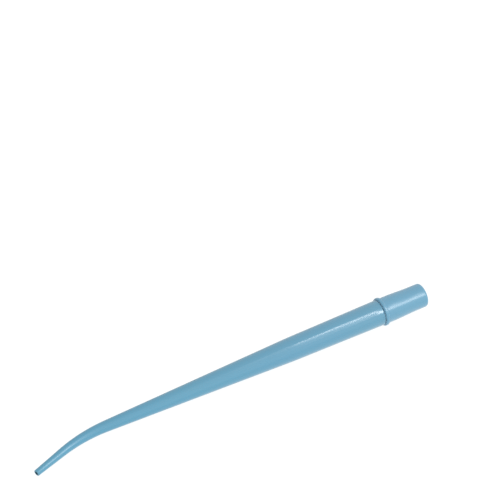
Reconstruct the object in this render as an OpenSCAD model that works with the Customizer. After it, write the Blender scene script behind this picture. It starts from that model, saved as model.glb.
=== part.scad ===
// Suction tip for a dental unit: a tapered, bent cannula whose rear stem is
// pushed into a plug that seats in the valve of the suction hose.
//
// Millimetres. The barrel's axis is the X axis. The mouth is at the -X end and
// the plug's free end is at the +X end. The nose bends towards -Y in the XY
// plane. The origin is on the axis, in the plane of the collar's rear face.

/* [Cannula] */
// Length of the straight barrel, from the collar's rear face to the bend
barrel_len = 135.5; // [100:0.5:170]
// Distance from the collar's rear face to the knee between the two tapers
knee_at = 47; // [30:1:70]
// Outside diameter at the shoulder that meets the collar
shoulder_od = 11.6; // [10.8:0.1:12]
// Outside diameter at the knee
knee_od = 10.6; // [9.4:0.1:10.8]
// Outside diameter where the bend begins
bend_od = 5; // [4.2:0.1:6]
// Outside diameter at the mouth
mouth_od = 2.8; // [2.6:0.1:4]

/* [Bend] */
// Centreline radius of the bend
bend_r = 67.5; // [40:0.5:120]
// Angle that the nose is turned through
bend_angle = 19; // [10:1:40]
// Length of the straight nose beyond the bend
nose_len = 15.2; // [8:0.1:30]

/* [Air passage] */
// Passage diameter through the stem and the plug's throat
throat_id = 7.9; // [7:0.1:8]
// Passage diameter at the knee
knee_id = 7.6; // [6:0.1:8]
// Passage diameter where the bend begins
bend_id = 2.9; // [2.4:0.1:3.4]
// Passage diameter just inside the mouth
mouth_id = 1.7; // [1.2:0.1:1.7]

/* [Valve adapter] */
// Diameter of the plug's straight seat, which the valve grips
plug_od = 11; // [10.9:0.1:11.2]
// Diameter of the plug at its root, next to the collar
root_od = 11.7; // [11.3:0.1:11.8]
// Length of the plug from the collar's rear face to its free end
plug_len = 20.6; // [18:0.1:26]
// Length of the parallel root
root_len = 5; // [3:0.5:7]
// Distance from the collar's rear face to the start of the straight seat
seat_at = 13.6; // [10:0.1:15]
// Rounding of the plug's rim
rim_r = 1.2; // [0.5:0.1:1.2]
// Diameter of the stop collar
collar_od = 13; // [12.8:0.1:14]
// Length of the stop collar
collar_len = 1.6; // [1.5:0.1:3]
// Rounding of the collar's front edge, beside the cannula's shoulder
collar_lead_r = 0.5; // [0.3:0.1:0.8]
// Rounding of the collar's rear edge, beside the plug
collar_edge_r = 0.3; // [0.1:0.05:0.35]

/* [Push fit] */
// Diameter of the cannula's stem
stem_od = 9.5; // [9:0.1:9.5]
// Radial clearance between the stem and its socket
fit_gap = 0.05; // [0.02:0.01:0.1]
// Depth of the socket behind the collar's rear face
socket_depth = 16.5; // [12:0.5:17]
// Gap left between the stem's end and the bottom of the socket
end_gap = 0.3; // [0.2:0.1:1]

/* [Facets] */
// Number of sides of the bent nose
nose_sides = 40; // [24:4:48]
// Number of steps along the bend
bend_steps = 14; // [8:1:20]

/* [Hidden] */
$fn = 96;
arc_steps = 5;            // segments of each small rounding
edge_break = 0.3;         // chamfers of the stem, the socket and the throat
shoulder_r = 0.6;         // rounding of the cannula's shoulder
root_fillet = 0.12;       // fillet between the plug and the collar
lip_r = 0.25;             // rounding of the mouth's rim
lap = 1;                  // length of the nose that is sunk in the barrel's wall
seam_inset = 0.02;        // step from the barrel's wall to the nose's, where they meet
sunk_inset = (bend_od - bend_id) / 6;   // the same at the sunk end

stem_len = collar_len + socket_depth - end_gap;
socket_id = stem_od + 2 * fit_gap;
bend_len = bend_r * bend_angle * PI / 180;
curve_len = bend_len + nose_len;   // bend and nose together, along the centreline

body_blue = [0.46, 0.66, 0.77];
plug_blue = [0.48, 0.66, 0.78];

// Points of an arc about c, from angle a0 to angle a1, as [radius, place along X]
function arc(c, r, a0, a1) =
    [for (i = [0 : arc_steps])
        let (a = a0 + (a1 - a0) * i / arc_steps)
        [c[0] + r * cos(a), c[1] + r * sin(a)]];

// A value that runs straight from v0 at the bend's start to v1 at the mouth
function along_curve(v0, v1, s) = v0 + (v1 - v0) * max(s, 0) / curve_len;

// Angle of the centreline at a distance s past the bend's start
function turn_at(s) = bend_angle * min(max(s / bend_len, 0), 1);

// Centre of the section at a distance s past the bend's start
function centre_at(s) =
    let (turned = turn_at(s), past = max(s - bend_len, 0), before = min(s, 0))
    [-barrel_len - before - bend_r * sin(turned) - past * cos(turned),
     -bend_r * (1 - cos(turned)) - past * sin(turned),
     0];

// One ring of the nose: section at s with radius r
function ring(s, r) =
    let (c = centre_at(s), turned = turn_at(s))
    [for (k = [0 : nose_sides - 1])
        let (a = 360 * k / nose_sides)
        c + r * [-sin(turned) * cos(a), cos(turned) * cos(a), sin(a)]];

// Sections of the nose as [s, radius], round the outside and back inside
function outer_sections() =
    let (start = bend_od / 2 - seam_inset, end = mouth_od / 2)
    concat(
        [[-lap, bend_od / 2 - sunk_inset], [-lap / 5, start]],
        [for (i = [1 : bend_steps])
            let (s = bend_len * i / bend_steps)
            [s, along_curve(start, end, s)]],
        [for (i = [0 : arc_steps])
            let (a = 90 * i / arc_steps)
            [curve_len - lip_r * (1 - sin(a)), end - lip_r * (1 - cos(a))]]);

function inner_sections() =
    let (start = bend_id / 2 + seam_inset, end = mouth_id / 2)
    concat(
        [[curve_len, end + lip_r / 2], [curve_len - lip_r / 2, end]],
        [for (i = [bend_steps : -1 : 1])
            let (s = bend_len * i / bend_steps)
            [s, along_curve(start, end, s)]],
        [[-lap / 5, start], [-lap, bend_id / 2 + sunk_inset]]);

// A closed tube through a loop of sections
module swept_tube(sections) {
    n = len(sections);
    m = nose_sides;
    points = [for (sec = sections) each ring(sec[0], sec[1])];
    faces = [for (i = [0 : n - 1], k = [0 : m - 1])
        let (a = i * m + k,
             b = i * m + (k + 1) % m,
             c = ((i + 1) % n) * m + (k + 1) % m,
             d = ((i + 1) % n) * m + k)
        each [[a, b, c], [a, c, d]]];
    polyhedron(points, faces, convexity = 4);
}

// Turns an outline of [radius, place along X] about the X axis
module turned(outline) {
    rotate([0, 90, 0]) rotate_extrude() polygon(outline);
}

// Straight barrel with its two tapers, rolled shoulder, stem and passage
module barrel() {
    turned(concat(
        [[bend_id / 2, -barrel_len],
         [bend_od / 2, -barrel_len],
         [knee_od / 2, -knee_at]],
        arc([shoulder_od / 2 - shoulder_r, -collar_len - shoulder_r], shoulder_r, 0, 90),
        [[stem_od / 2, -collar_len],
         [stem_od / 2, stem_len - collar_len - edge_break],
         [stem_od / 2 - edge_break, stem_len - collar_len],
         [throat_id / 2, stem_len - collar_len],
         [throat_id / 2, -collar_len],
         [knee_id / 2, -knee_at]]));
}

module cannula() {
    color(body_blue) {
        barrel();
        swept_tube(concat(outer_sections(), inner_sections()));
    }
}

module valve_adapter() {
    collar_r = collar_od / 2;
    plug_r = plug_od / 2;
    root_r = root_od / 2;
    socket_r = socket_id / 2;
    throat_r = throat_id / 2;
    color(plug_blue)
        turned(concat(
            [[socket_r + edge_break, -collar_len]],
            arc([collar_r - collar_lead_r, collar_lead_r - collar_len], collar_lead_r, -90, 0),
            arc([collar_r - collar_edge_r, -collar_edge_r], collar_edge_r, 0, 90),
            arc([root_r + root_fillet, root_fillet], root_fillet, 270, 180),
            [[root_r, root_len],
             [plug_r, seat_at]],
            arc([plug_r - rim_r, plug_len - rim_r], rim_r, 0, 90),
            [[throat_r + edge_break / 2, plug_len],
             [throat_r, plug_len - edge_break / 2],
             [throat_r, socket_depth],
             [socket_r, socket_depth],
             [socket_r, edge_break - collar_len]]));
}

cannula();
valve_adapter();
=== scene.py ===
"""Suction tip for a dental unit: a tapered, bent cannula on a plug that seats in the valve.

Run as a script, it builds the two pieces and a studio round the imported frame. The
lengths are metres. The barrel's axis is the X axis, and the mouth is at its -X end.
"""

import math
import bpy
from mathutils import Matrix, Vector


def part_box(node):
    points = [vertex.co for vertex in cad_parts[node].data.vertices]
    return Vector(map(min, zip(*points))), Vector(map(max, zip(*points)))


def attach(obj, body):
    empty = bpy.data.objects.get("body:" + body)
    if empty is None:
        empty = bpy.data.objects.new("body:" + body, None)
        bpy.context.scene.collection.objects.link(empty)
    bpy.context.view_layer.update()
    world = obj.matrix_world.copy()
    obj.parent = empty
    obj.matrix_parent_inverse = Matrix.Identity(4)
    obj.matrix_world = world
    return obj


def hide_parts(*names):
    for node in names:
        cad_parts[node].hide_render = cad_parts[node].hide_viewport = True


bl_info = {
    "name": "Suction tip",
    "version": (1, 0, 0),
    "blender": (4, 5, 0),
    "location": "View3D > Sidebar > Suction tip",
    "description": "Bent suction cannula with its valve adapter, in a plain studio",
    "category": "Object",
}

import bmesh
import bpy
from bpy.props import FloatProperty, FloatVectorProperty, IntProperty, PointerProperty
from mathutils import Matrix, Vector

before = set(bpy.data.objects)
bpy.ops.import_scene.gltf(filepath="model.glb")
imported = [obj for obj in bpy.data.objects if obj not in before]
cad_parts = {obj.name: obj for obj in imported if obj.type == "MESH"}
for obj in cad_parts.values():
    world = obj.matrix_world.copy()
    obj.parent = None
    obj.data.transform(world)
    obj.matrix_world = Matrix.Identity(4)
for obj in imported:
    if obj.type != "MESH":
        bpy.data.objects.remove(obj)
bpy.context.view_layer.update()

CANNULA_LO, CANNULA_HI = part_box("cannula")
ADAPTER_LO, ADAPTER_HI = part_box("valve_adapter")

MM = 0.001
ON_PLACE = 5e-6                    # how near a corner has to be to be picked by its place
BORE_AXIS = Vector((1, 0, 0))
BARREL_RUN = 5 * MM                # longest run that is drawn in one go
SMOOTH_UNDER = math.radians(30)

# Small edges that have no setting of their own
STEM_CHAMFER = 0.3 * MM
THROAT_EDGE = 0.15 * MM
SOCKET_EDGE = 0.3 * MM
KNEE_BLEND = 1 * MM                # length over which the two tapers run together
PLUG_BLEND = 1.5 * MM              # the same at both ends of the plug's taper

# Faces across each rounded edge
CHAMFER_FACES = 1
EDGE_FACES = 3
BLEND_FACES = 4
LIP_FACES = 6                      # at the mouth, and in the fillet behind the collar
ROLL_FACES = 8
LEAD_FACES = 10
RIM_FACES = 12

# Surface of the mouldings: noise scales are per metre
PLASTIC_IOR = 1.49
EDGE_SHEEN = 0.65                  # pale bloom of the plastic where it is seen edge on
EDGE_SHEEN_SPREAD = 0.4
POLISHED_FROM = 0.5                # share of the way along from which the polish is full
FLOW_STRETCH = (0.3, 1.0, 1.0)
FLOW_SIZE = 90.0
FLOW_TINT = (1.05, 1.03, 0.95)
HAZE_SIZE = 140.0
HAZE_LEAST = 0.8                   # how much of its roughness the skin keeps where it is clearest
HAZE_MORE = 0.4                    # how much haze adds to that
WAVE_SIZE = 110.0
GRAIN_SIZE = 5000.0
CANNULA_WAVE = 0.002 * MM
CANNULA_GRAIN = 0.0001 * MM
ADAPTER_WAVE = 0.003 * MM
ADAPTER_GRAIN = 0.001 * MM

# Studio
FLOOR_WIDTH = 4.0
FLOOR_GAP = 0.02 * MM
FLOOR_WHITE = (0.2, 0.2, 0.2)
FLOOR_MATT = 0.9
GLOW_WHITE = (1.0, 1.0, 1.0)
FRONT_LEAN = 0.35                  # how much more of the room's light comes from the front
PLUG_LEAN = 0.45                   # how much more of it comes from the plug's end
FLOOR_REFLECTION = 0.55            # how bright the floor is in the plastic's reflections
HORIZON_BLEND = (-0.15, 0.35)      # heights between which the room brightens
# Corners of the two softboxes that draw the highlights along the barrel and the plug
BARREL_CARD = (
    (0.262, -0.095, 0.960),
    (0.276, -0.195, 0.941),
    (0.368, -0.500, 0.784),
    (0.368, -0.395, 0.842),
)
PLUG_CARD = (
    (0.374, -0.430, 0.822),
    (0.374, -0.690, 0.620),
    (0.470, -0.690, 0.550),
    (0.470, -0.450, 0.760),
)
CAMERA_AIM = (-0.0350, 0.0644, 0.00015)
CAMERA_DISTANCE = 1.0
SENSOR_WIDTH = 36.0


# ---------------------------------------------------------------- sizes and finishes


def length(name, description, default):
    """A length that the user can change."""
    return FloatProperty(
        name=name, description=description, default=default, min=0, unit="LENGTH", precision=5
    )


def share(name, description, default):
    """A number from 0 to 1 that the user can change."""
    return FloatProperty(
        name=name, description=description, default=default, min=0, max=1, subtype="FACTOR"
    )


def tint(name, description, default):
    """A colour that the user can change."""
    return FloatVectorProperty(
        name=name, description=description, default=default, min=0, max=1, size=3, subtype="COLOR"
    )


class CannulaSizes(bpy.types.PropertyGroup):
    """Sizes of the bent cannula."""

    barrel_length: length("Barrel", "From the collar's rear face to the bend", 135.5 * MM)
    knee_place: length("Knee", "From the collar's rear face to the knee between the tapers", 47 * MM)
    shoulder_across: length("Shoulder diameter", "Outside, next to the collar", 11.6 * MM)
    knee_across: length("Knee diameter", "Outside, where the tapers meet", 10.6 * MM)
    bend_across: length("Bend diameter", "Outside, where the bend begins", 5 * MM)
    mouth_across: length("Mouth diameter", "Outside, at the mouth", 2.8 * MM)
    bend_radius: length("Bend radius", "Radius of the bend's centre line", 67.5 * MM)
    bend_turn: FloatProperty(
        name="Bend angle",
        description="Angle that the nose is turned through",
        default=math.radians(19),
        subtype="ANGLE",
    )
    nose_length: length("Nose", "Straight nose past the bend", 15.2 * MM)
    throat_bore: length("Throat bore", "Passage diameter through the stem", 7.9 * MM)
    knee_bore: length("Knee bore", "Passage diameter at the knee", 7.6 * MM)
    bend_bore: length("Bend bore", "Passage diameter where the bend begins", 2.9 * MM)
    mouth_bore: length("Mouth bore", "Passage diameter at the mouth", 1.7 * MM)
    stem_across: length("Stem diameter", "Diameter of the stem in the adapter's socket", 9.5 * MM)
    shoulder_roll: length("Shoulder rounding", "Rounding of the shoulder at the collar", 0.6 * MM)
    lip_roll: length("Lip rounding", "Rounding of the mouth's rim", 0.25 * MM)
    sides: IntProperty(
        name="Sides", description="Corners round the cannula", default=112, min=24, max=256
    )
    bend_steps: IntProperty(
        name="Bend steps", description="Steps that the bend is turned in", default=24, min=6, max=64
    )


class AdapterSizes(bpy.types.PropertyGroup):
    """Sizes of the valve adapter."""

    seat_across: length("Seat diameter", "Straight seat that the valve grips", 11 * MM)
    root_across: length("Root diameter", "Plug next to the collar", 11.7 * MM)
    root_length: length("Root", "Length of the parallel root", 5 * MM)
    seat_place: length("Seat", "From the collar's rear face to the straight seat", 13.6 * MM)
    rim_roll: length("Rim rounding", "Rounding of the plug's rim", 1.2 * MM)
    lead_roll: length("Collar lead", "Rounding of the collar's front edge", 0.5 * MM)
    collar_roll: length("Collar rounding", "Rounding of the collar's rear edge", 0.45 * MM)
    root_fillet: length("Root fillet", "Fillet between the collar and the plug", 0.22 * MM)
    socket_bore: length("Socket bore", "Socket for the cannula's stem", 9.6 * MM)
    socket_end: length("Socket depth", "From the collar's rear face to the socket's end", 16.5 * MM)
    throat_bore: length("Throat bore", "Passage diameter behind the socket", 7.9 * MM)
    sides: IntProperty(
        name="Sides", description="Corners round the adapter", default=128, min=24, max=256
    )


class PlasticLooks(bpy.types.PropertyGroup):
    """Colours and gloss of the two mouldings."""

    nose_blue: tint("Nose blue", "The cannula's plastic at its mouth", (0.092, 0.320, 0.490))
    body_blue: tint("Body blue", "The cannula's plastic at its shoulder", (0.128, 0.338, 0.500))
    # Darker blue on the air passage's wall: painted shade for the dark deep inside the narrow bore, not
    # a colour of the plastic
    passage_painted_shade: tint("Passage painted shade", "The wall of the air passage", (0.05, 0.13, 0.18))
    plug_blue: tint("Plug blue", "The adapter's plastic", (0.140, 0.358, 0.536))
    nose_gloss: share("Nose roughness", "Roughness of the cannula at its mouth", 0.3)
    cannula_gloss: share("Barrel roughness", "Roughness of the cannula's polished barrel", 0.18)
    adapter_gloss: share("Adapter roughness", "Roughness of the satin adapter", 0.26)


class StudioSettings(bpy.types.PropertyGroup):
    """Light, floor and camera of the studio."""

    sky_light: FloatProperty(name="Room light", description="Strength of the room's light", default=1.0)
    floor_glow: FloatProperty(name="Floor glow", description="Light of the floor itself", default=0.9)
    barrel_glow: FloatProperty(
        name="Barrel softbox", description="Brightness of the barrel's softbox", default=40.0
    )
    plug_glow: FloatProperty(
        name="Plug softbox", description="Brightness of the plug's softbox", default=21.0
    )
    camera_lens: FloatProperty(
        name="Lens", description="Focal length of the camera", default=162.58, subtype="DISTANCE_CAMERA"
    )
    camera_azimuth: FloatProperty(
        name="Azimuth",
        description="Direction that the camera looks from",
        default=math.radians(-28.256),
        subtype="ANGLE",
    )
    camera_elevation: FloatProperty(
        name="Elevation",
        description="Height of the camera above the horizon",
        default=math.radians(47.278),
        subtype="ANGLE",
    )


# ---------------------------------------------------------------- shader sheets


class Wire:
    """A value socket that Python's arithmetic works on."""

    def __init__(self, sheet, socket):
        self.sheet = sheet
        self.socket = socket

    def _reckon(self, operation, first, second):
        return self.sheet.add("ShaderNodeMath", {"operation": operation}, {0: first, 1: second})

    def __add__(self, other):
        return self._reckon("ADD", self, other)

    def __radd__(self, other):
        return self._reckon("ADD", other, self)

    def __sub__(self, other):
        return self._reckon("SUBTRACT", self, other)

    def __rsub__(self, other):
        return self._reckon("SUBTRACT", other, self)

    def __mul__(self, other):
        return self._reckon("MULTIPLY", self, other)

    def __rmul__(self, other):
        return self._reckon("MULTIPLY", other, self)


class Sheet:
    """The node sheet of one material or of the world."""

    def __init__(self, owner):
        owner.use_nodes = True
        self.tree = owner.node_tree
        self.tree.nodes.clear()

    def noise(self, place, size, detail):
        """Smooth noise of one size, as a value about 0.5."""
        return self.add(
            "ShaderNodeTexNoise", {}, {"Vector": place, "Scale": size, "Detail": detail}
        )

    def blend(self, way, share, first, second):
        """Blend two colours."""
        return self.add(
            "ShaderNodeMix",
            {"data_type": "RGBA", "blend_type": way},
            {"Factor": share, "A": first, "B": second},
            output="Result",
        )

    def add(self, kind, settings=None, values=None, output=0):
        """Add a node of one kind, set it up, feed its sockets, and return one of its outputs."""
        node = self.tree.nodes.new(kind)
        for name, setting in (settings or {}).items():
            setattr(node, name, setting)
        for name, value in (values or {}).items():
            if isinstance(value, Wire):
                self.tree.links.new(value.socket, node.inputs[name])
            else:
                node.inputs[name].default_value = value
        return Wire(self, node.outputs[output]) if node.outputs else None


def opaque(colour):
    """A colour with its alpha."""
    return (*colour, 1.0)


def moulded_plastic(name, colours, roughnesses, span, wave_depth, grain_depth):
    """Blue polypropylene: its colour drifts along the piece, and its skin is not quite even.

    The first colour and roughness are at the span's -X end, and the others at its +X end.
    """
    material = bpy.data.materials.new(name)
    sheet = Sheet(material)
    place = sheet.add("ShaderNodeTexCoord", output="Object")
    run = sheet.add("ShaderNodeSeparateXYZ", {}, {"Vector": place}, output="X")
    along = sheet.add(
        "ShaderNodeMapRange", {}, {"Value": run, "From Min": span[0], "From Max": span[1]}
    )
    along_flow = sheet.add("ShaderNodeMapping", {}, {"Vector": place, "Scale": FLOW_STRETCH})
    flow = sheet.noise(along_flow, FLOW_SIZE, detail=2.0)
    haze = sheet.noise(place, HAZE_SIZE, detail=3.0)
    waves = sheet.noise(place, WAVE_SIZE, detail=1.0)
    grain = sheet.noise(place, GRAIN_SIZE, detail=2.0)
    ends = sheet.blend("MIX", along, opaque(colours[0]), opaque(colours[1]))
    colour = sheet.blend("MULTIPLY", flow, ends, opaque(FLOW_TINT))
    polish = sheet.add(
        "ShaderNodeMapRange",
        {"interpolation_type": "SMOOTHSTEP"},
        {
            "Value": along,
            "From Max": POLISHED_FROM,
            "To Min": roughnesses[0],
            "To Max": roughnesses[1],
        },
    )
    gloss = polish * (HAZE_LEAST + HAZE_MORE * haze)
    waviness = sheet.add(
        "ShaderNodeBump", {}, {"Strength": 1.0, "Distance": wave_depth, "Height": waves}
    )
    skin = sheet.add(
        "ShaderNodeBump",
        {},
        {"Strength": 1.0, "Distance": grain_depth, "Height": grain, "Normal": waviness},
    )
    plastic = sheet.add(
        "ShaderNodeBsdfPrincipled",
        {},
        {
            "Base Color": colour,
            "Roughness": gloss,
            "Normal": skin,
            "IOR": PLASTIC_IOR,
            "Sheen Weight": EDGE_SHEEN,
            "Sheen Roughness": EDGE_SHEEN_SPREAD,
        },
    )
    sheet.add("ShaderNodeOutputMaterial", {}, {"Surface": plastic})
    return material


# ---------------------------------------------------------------- shaping by hand


def start_ring(name, place, radius, sides):
    """A new piece that is one open ring round the X axis, ready to be drawn out."""
    bpy.ops.object.select_all(action="DESELECT")
    bpy.ops.mesh.primitive_circle_add(
        vertices=sides,
        radius=radius,
        fill_type="NOTHING",
        location=(place, 0, 0),
        rotation=(0, math.pi / 2, 0),
    )
    piece = bpy.context.object
    piece.name = piece.data.name = name
    bpy.ops.object.transform_apply(location=True, rotation=True, scale=True)
    bpy.ops.object.mode_set(mode="EDIT")
    bpy.ops.mesh.select_mode(type="EDGE")
    bpy.ops.mesh.select_all(action="SELECT")
    return piece


class Rim:
    """The open rim of a tube that is being drawn out: where it is, and how wide."""

    def __init__(self, centre, radius, facing=BORE_AXIS):
        self.centre = Vector(centre)
        self.radius = radius
        self.facing = Vector(facing)

    def resize(self, radius):
        """Bring the rim to a new radius."""
        ratio = radius / self.radius
        bpy.ops.transform.resize(value=(ratio,) * 3, center_override=self.centre)
        self.radius = radius

    def draw(self, run, radius):
        """Draw the rim on by a run along the way it faces, to a new radius."""
        step = self.facing * run
        bpy.ops.mesh.extrude_region_move(TRANSFORM_OT_translate={"value": step})
        self.centre += step
        self.resize(radius)

    def draw_taper(self, run, radius):
        """Draw the rim on along an even taper, in short barrels."""
        count = max(1, math.ceil(abs(run) / BARREL_RUN))
        first = self.radius
        for step in range(1, count + 1):
            self.draw(run / count, first + (radius - first) * step / count)

    def turn(self, pivot, angle, radius):
        """Draw the rim on round a pivot, to a new radius."""
        bpy.ops.mesh.extrude_region_move(TRANSFORM_OT_translate={"value": (0, 0, 0)})
        bpy.ops.transform.rotate(value=-angle, orient_axis="Z", center_override=pivot)
        turned = Matrix.Rotation(angle, 3, "Z")
        self.centre = pivot + turned @ (self.centre - pivot)
        self.facing = turned @ self.facing
        self.resize(radius)


def pick_ring(piece, centre, radius, facing=BORE_AXIS):
    """Select the one ring of edges that has this centre, radius and axis."""
    bpy.ops.mesh.select_all(action="DESELECT")
    mesh = bmesh.from_edit_mesh(piece.data)
    centre = Vector(centre)

    def on_ring(corner):
        reach = corner.co - centre
        return abs(reach.dot(facing)) < ON_PLACE and abs(reach.length - radius) < ON_PLACE

    picked = [edge for edge in mesh.edges if all(on_ring(corner) for corner in edge.verts)]
    if not picked:
        raise RuntimeError(f"{piece.name} has no ring of radius {radius:.5f} at {tuple(centre)}")
    for edge in picked:
        edge.select_set(True)
    bmesh.update_edit_mesh(piece.data)


def round_ring(piece, centre, radius, roll, faces, facing=BORE_AXIS):
    """Round off one ring of edges, with so many faces across the rounding."""
    pick_ring(piece, centre, radius, facing)
    bpy.ops.mesh.bevel(offset=roll, segments=faces, affect="EDGES", clamp_overlap=False)


def close_tube(piece):
    """Join the first ring and the last, so that the wall is closed all round."""
    bpy.ops.mesh.select_all(action="DESELECT")
    bpy.ops.mesh.select_non_manifold()
    bpy.ops.mesh.bridge_edge_loops()


def give_later_faces(piece, first, slot):
    """Give one material slot to every face made from the first one on."""
    mesh = bmesh.from_edit_mesh(piece.data)
    mesh.faces.ensure_lookup_table()
    for face in mesh.faces[first:]:
        face.material_index = slot
    bmesh.update_edit_mesh(piece.data)


def finish_piece(piece, materials, body, node):
    """Close the work on a piece, and hand it to the frame in place of its CAD node."""
    bpy.ops.mesh.select_all(action="SELECT")
    bpy.ops.mesh.normals_make_consistent(inside=False)
    bpy.ops.object.mode_set(mode="OBJECT")
    bpy.ops.object.shade_smooth_by_angle(angle=SMOOTH_UNDER)
    for material in materials:
        piece.data.materials.append(material)
    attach(piece, body)
    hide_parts(node)


# ---------------------------------------------------------------- pieces


class SUCTIONTIP_OT_cannula(bpy.types.Operator):
    """Draw out the bent cannula: stem, rolled shoulder, two tapers, bent nose and air passage"""

    bl_idname = "suction_tip.cannula"
    bl_label = "Bent cannula"

    def execute(self, context):
        sizes = context.scene.suction_cannula
        looks = context.scene.suction_plastic
        stem_end = CANNULA_HI.x
        shoulder = ADAPTER_LO.x
        stem_radius = sizes.stem_across / 2
        shoulder_radius = sizes.shoulder_across / 2
        mouth_radius = sizes.mouth_across / 2
        bore_radius = sizes.mouth_bore / 2
        turn_step = sizes.bend_turn / sizes.bend_steps
        bend_length = sizes.bend_radius * sizes.bend_turn
        curve_length = bend_length + sizes.nose_length
        pivot = Vector((-sizes.barrel_length, -sizes.bend_radius, 0))

        def along_bend(start_across, end_across, travelled):
            share_done = travelled / curve_length
            return (start_across + (end_across - start_across) * share_done) / 2

        piece = start_ring("bent_cannula", stem_end, stem_radius, sizes.sides)
        rim = Rim((stem_end, 0, 0), stem_radius, -BORE_AXIS)
        rim.draw_taper(stem_end - shoulder, stem_radius)
        rim.draw(0, shoulder_radius)
        rim.draw_taper(sizes.knee_place + shoulder, sizes.knee_across / 2)
        rim.draw_taper(sizes.barrel_length - sizes.knee_place, sizes.bend_across / 2)
        for step in range(1, sizes.bend_steps + 1):
            travelled = bend_length * step / sizes.bend_steps
            rim.turn(pivot, turn_step, along_bend(sizes.bend_across, sizes.mouth_across, travelled))
        rim.draw_taper(sizes.nose_length, mouth_radius)
        mouth = rim.centre.copy()
        mouth_facing = rim.facing.copy()

        rim.draw(0, bore_radius)
        outside = len(bmesh.from_edit_mesh(piece.data).faces)
        rim.facing.negate()
        rim.draw_taper(
            sizes.nose_length, along_bend(sizes.bend_bore, sizes.mouth_bore, bend_length)
        )
        for step in range(sizes.bend_steps - 1, -1, -1):
            travelled = bend_length * step / sizes.bend_steps
            rim.turn(pivot, -turn_step, along_bend(sizes.bend_bore, sizes.mouth_bore, travelled))
        rim.draw_taper(sizes.barrel_length - sizes.knee_place, sizes.knee_bore / 2)
        rim.draw_taper(sizes.knee_place + shoulder, sizes.throat_bore / 2)
        rim.draw_taper(stem_end - shoulder, sizes.throat_bore / 2)
        # The passage's faces take the second slot, which carries the painted shade of the bore
        give_later_faces(piece, outside, 1)
        close_tube(piece)

        round_ring(piece, (stem_end, 0, 0), stem_radius, STEM_CHAMFER, CHAMFER_FACES)
        round_ring(piece, (shoulder, 0, 0), shoulder_radius, sizes.shoulder_roll, ROLL_FACES)
        round_ring(piece, (-sizes.knee_place, 0, 0), sizes.knee_across / 2, KNEE_BLEND, BLEND_FACES)
        round_ring(piece, mouth, mouth_radius, sizes.lip_roll, LIP_FACES, mouth_facing)
        round_ring(piece, mouth, bore_radius, sizes.lip_roll / 2, BLEND_FACES, mouth_facing)
        plastic = moulded_plastic(
            "polished_blue_plastic",
            (looks.nose_blue, looks.body_blue),
            (looks.nose_gloss, looks.cannula_gloss),
            (CANNULA_LO.x, shoulder),
            CANNULA_WAVE,
            CANNULA_GRAIN,
        )
        # The passage's wall gets a darker blue that is painted shade, standing in for the dark inside
        # the narrow bore
        passage = moulded_plastic(
            "passage_painted_shade_plastic",
            (looks.passage_painted_shade, looks.passage_painted_shade),
            (looks.nose_gloss, looks.nose_gloss),
            (CANNULA_LO.x, shoulder),
            CANNULA_WAVE,
            CANNULA_GRAIN,
        )
        finish_piece(piece, (plastic, passage), "cannula", "cannula")
        return {"FINISHED"}


class SUCTIONTIP_OT_valve_adapter(bpy.types.Operator):
    """Draw out the valve adapter: stop collar, plug with its rounded rim, socket and throat"""

    bl_idname = "suction_tip.valve_adapter"
    bl_label = "Valve adapter"

    def execute(self, context):
        sizes = context.scene.suction_adapter
        looks = context.scene.suction_plastic
        front = ADAPTER_LO.x
        plug_end = ADAPTER_HI.x
        collar_radius = ADAPTER_HI.z
        seat_radius = sizes.seat_across / 2
        root_radius = sizes.root_across / 2
        socket_radius = sizes.socket_bore / 2
        throat_radius = sizes.throat_bore / 2

        piece = start_ring("valve_plug_adapter", plug_end, seat_radius, sizes.sides)
        rim = Rim((plug_end, 0, 0), seat_radius, -BORE_AXIS)
        rim.draw_taper(plug_end - sizes.seat_place, seat_radius)
        rim.draw_taper(sizes.seat_place - sizes.root_length, root_radius)
        rim.draw_taper(sizes.root_length, root_radius)
        rim.draw(0, collar_radius)
        rim.draw(-front, collar_radius)
        rim.draw(0, socket_radius)
        rim.facing.negate()
        rim.draw_taper(sizes.socket_end - front, socket_radius)
        rim.draw(0, throat_radius)
        rim.draw_taper(plug_end - sizes.socket_end, throat_radius)
        close_tube(piece)

        round_ring(piece, (plug_end, 0, 0), seat_radius, sizes.rim_roll, RIM_FACES)
        round_ring(piece, (plug_end, 0, 0), throat_radius, THROAT_EDGE, EDGE_FACES)
        round_ring(piece, (sizes.seat_place, 0, 0), seat_radius, PLUG_BLEND, BLEND_FACES)
        round_ring(piece, (sizes.root_length, 0, 0), root_radius, PLUG_BLEND, BLEND_FACES)
        round_ring(piece, (0, 0, 0), root_radius, sizes.root_fillet, LIP_FACES)
        round_ring(piece, (0, 0, 0), collar_radius, sizes.collar_roll, ROLL_FACES)
        round_ring(piece, (front, 0, 0), collar_radius, sizes.lead_roll, LEAD_FACES)
        round_ring(piece, (front, 0, 0), socket_radius, SOCKET_EDGE, EDGE_FACES)
        plastic = moulded_plastic(
            "satin_blue_plastic",
            (looks.plug_blue, looks.plug_blue),
            (looks.adapter_gloss, looks.adapter_gloss),
            (front, plug_end),
            ADAPTER_WAVE,
            ADAPTER_GRAIN,
        )
        finish_piece(piece, (plastic,), "adapter", "valve_adapter")
        return {"FINISHED"}


# ---------------------------------------------------------------- studio


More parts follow.
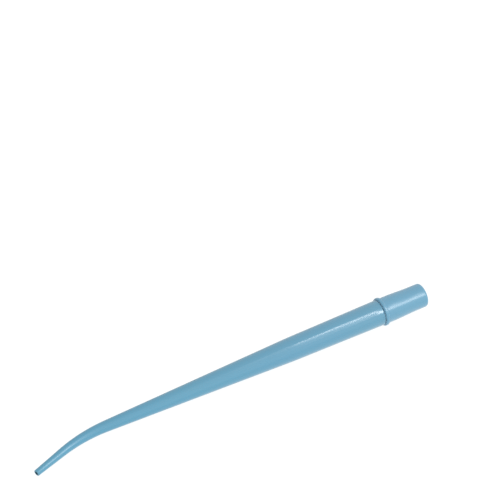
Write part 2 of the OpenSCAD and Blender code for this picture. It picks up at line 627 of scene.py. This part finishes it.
def lay_floor(settings):
    """A wide white floor, tilted so that it is just clear of both the collar and the knee."""
    collar_radius = ADAPTER_HI.z
    knee = bpy.context.scene.suction_cannula
    touch = Vector((ADAPTER_LO.x / 2, 0, -collar_radius))
    other_touch = Vector((-knee.knee_place, 0, -knee.knee_across / 2))
    slope = math.atan2(other_touch.z - touch.z, touch.x - other_touch.x)
    bpy.ops.object.select_all(action="DESELECT")
    bpy.ops.mesh.primitive_plane_add(
        size=FLOOR_WIDTH, location=touch - Vector((0, 0, FLOOR_GAP)), rotation=(0, slope, 0)
    )
    floor = bpy.context.object
    floor.name = floor.data.name = "studio_floor"
    material = bpy.data.materials.new("floor_white")
    sheet = Sheet(material)
    white = sheet.add(
        "ShaderNodeBsdfPrincipled",
        {},
        {
            "Base Color": opaque(FLOOR_WHITE),
            "Roughness": FLOOR_MATT,
            "Specular IOR Level": 0.0,
            "Emission Color": opaque(GLOW_WHITE),
            "Emission Strength": settings.floor_glow,
        },
    )
    sheet.add("ShaderNodeOutputMaterial", {}, {"Surface": white})
    # Bounced rays find so wide a floor by themselves, which leaves the softboxes the direct ones
    material.cycles.emission_sampling = "NONE"
    floor.data.materials.append(material)
    floor.visible_glossy = False


def light_room(settings):
    """White light from all round, a little stronger from the front and from the plug's end."""
    world = bpy.data.worlds.new("studio_room")
    world.cycles.sampling_method = "NONE"
    bpy.context.scene.world = world
    sheet = Sheet(world)
    way = sheet.add("ShaderNodeTexCoord", output="Generated")
    rear = sheet.add("ShaderNodeSeparateXYZ", {}, {"Vector": way}, output="X")
    back = sheet.add("ShaderNodeSeparateXYZ", {}, {"Vector": way}, output="Y")
    height = sheet.add("ShaderNodeSeparateXYZ", {}, {"Vector": way}, output="Z")
    low, high = HORIZON_BLEND
    rise = sheet.add(
        "ShaderNodeMapRange",
        {"interpolation_type": "SMOOTHSTEP"},
        {
            "Value": height,
            "From Min": low,
            "From Max": high,
            "To Min": FLOOR_REFLECTION,
            "To Max": settings.sky_light,
        },
    )
    glow = sheet.add(
        "ShaderNodeBackground",
        {},
        {
            "Color": opaque(GLOW_WHITE),
            "Strength": rise * (1 - FRONT_LEAN * back + PLUG_LEAN * rear),
        },
    )
    sheet.add("ShaderNodeOutputWorld", {}, {"Surface": glow})


def hang_softbox(name, corners, glow):
    """A bright panel that only shows as a highlight on the plastic."""
    bpy.ops.object.select_all(action="DESELECT")
    bpy.ops.mesh.primitive_plane_add(size=1)
    panel = bpy.context.object
    panel.name = panel.data.name = name
    outline = panel.data.polygons[0].vertices
    for number, corner in zip(outline, corners):
        panel.data.vertices[number].co = corner
    material = bpy.data.materials.new(name)
    sheet = Sheet(material)
    light = sheet.add("ShaderNodeEmission", {}, {"Strength": glow})
    sheet.add("ShaderNodeOutputMaterial", {}, {"Surface": light})
    panel.data.materials.append(material)
    panel.visible_camera = False
    panel.visible_diffuse = False
    panel.visible_shadow = False


def set_camera(settings):
    """The camera, level and looking at the piece from the front left."""
    azimuth = settings.camera_azimuth
    elevation = settings.camera_elevation
    back = Vector(
        (
            math.sin(azimuth) * math.cos(elevation),
            -math.cos(azimuth) * math.cos(elevation),
            math.sin(elevation),
        )
    )
    lens = bpy.data.cameras.new("studio_camera")
    lens.lens = settings.camera_lens
    lens.sensor_width = SENSOR_WIDTH
    camera = bpy.data.objects.new("studio_camera", lens)
    bpy.context.scene.collection.objects.link(camera)
    camera.location = Vector(CAMERA_AIM) + back * CAMERA_DISTANCE
    camera.rotation_euler = (math.pi / 2 - elevation, 0, azimuth)
    bpy.context.scene.camera = camera


class SUCTIONTIP_OT_studio(bpy.types.Operator):
    """Lay the floor, light the room and set the camera"""

    bl_idname = "suction_tip.studio"
    bl_label = "Studio"

    def execute(self, context):
        settings = context.scene.suction_studio
        lay_floor(settings)
        light_room(settings)
        hang_softbox("barrel_softbox", BARREL_CARD, settings.barrel_glow)
        hang_softbox("plug_softbox", PLUG_CARD, settings.plug_glow)
        set_camera(settings)
        context.scene.view_settings.view_transform = "Standard"
        return {"FINISHED"}


# ---------------------------------------------------------------- add-on


class SUCTIONTIP_PT_panel(bpy.types.Panel):
    """Sizes, finishes and the operators that make the pieces"""

    bl_idname = "SUCTIONTIP_PT_panel"
    bl_label = "Suction tip"
    bl_space_type = "VIEW_3D"
    bl_region_type = "UI"
    bl_category = "Suction tip"

    def draw(self, context):
        for settings, operators in (
            (context.scene.suction_cannula, ("suction_tip.cannula",)),
            (context.scene.suction_adapter, ("suction_tip.valve_adapter",)),
            (context.scene.suction_plastic, ()),
            (context.scene.suction_studio, ("suction_tip.studio",)),
        ):
            box = self.layout.box()
            for name in settings.__annotations__:
                box.prop(settings, name)
            for operator in operators:
                box.operator(operator)


GROUPS = {
    "suction_cannula": CannulaSizes,
    "suction_adapter": AdapterSizes,
    "suction_plastic": PlasticLooks,
    "suction_studio": StudioSettings,
}
TOOLS = (SUCTIONTIP_OT_cannula, SUCTIONTIP_OT_valve_adapter, SUCTIONTIP_OT_studio, SUCTIONTIP_PT_panel)


def register():
    for name, group in GROUPS.items():
        bpy.utils.register_class(group)
        setattr(bpy.types.Scene, name, PointerProperty(type=group))
    for tool in TOOLS:
        bpy.utils.register_class(tool)


def unregister():
    for tool in reversed(TOOLS):
        bpy.utils.unregister_class(tool)
    for name, group in reversed(GROUPS.items()):
        delattr(bpy.types.Scene, name)
        bpy.utils.unregister_class(group)


def main():
    register()
    bpy.ops.suction_tip.cannula()
    bpy.ops.suction_tip.valve_adapter()
    bpy.ops.suction_tip.studio()


if __name__ == "__main__":
    main()
